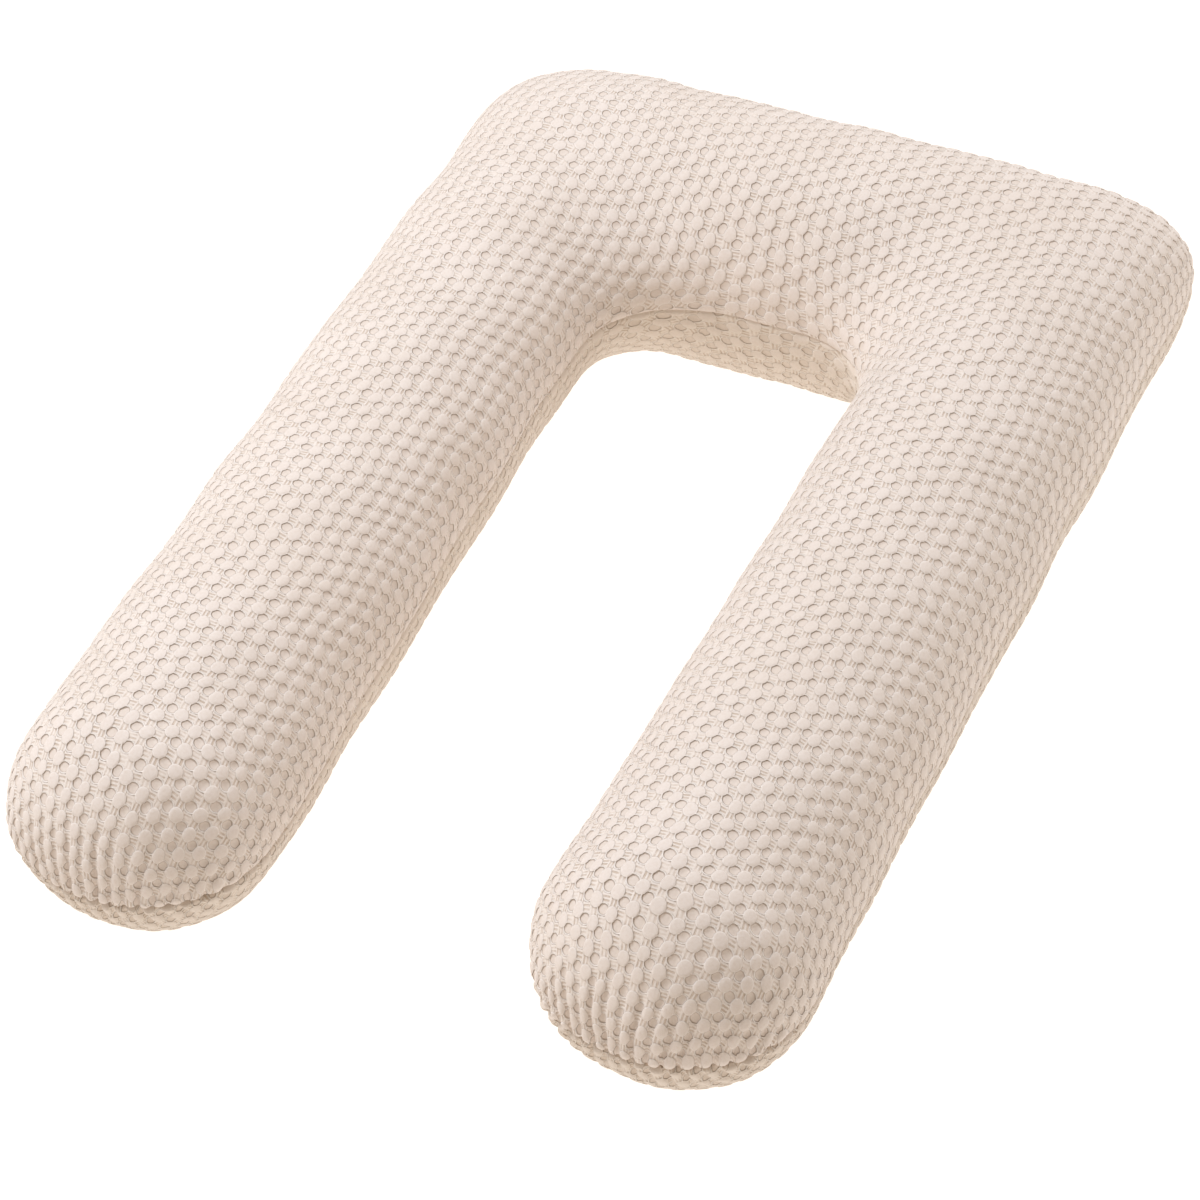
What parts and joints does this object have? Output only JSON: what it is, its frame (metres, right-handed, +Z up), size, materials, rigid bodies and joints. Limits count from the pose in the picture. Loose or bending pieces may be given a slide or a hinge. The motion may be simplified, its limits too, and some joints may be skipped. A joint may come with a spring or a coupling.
{
  "type": "body pillow",
  "caption": "U-shaped full-length body pillow, firmly stuffed, in a cream bubble-textured cloth cover with a seam round its side.",
  "frame": {"origin": "on the surface the pillow lies on, under the middle of its box", "axes": "+Z up, +Y from the open leg ends towards the closed bar, +X across both legs"},
  "size_m": [0.8022, 1.1906, 0.2572],
  "materials": {
    "cover": "matte cream bubble jacquard"
  },
  "bodies": {
    "root": {"pillow": "cover"}
  },
  "joints": []
}
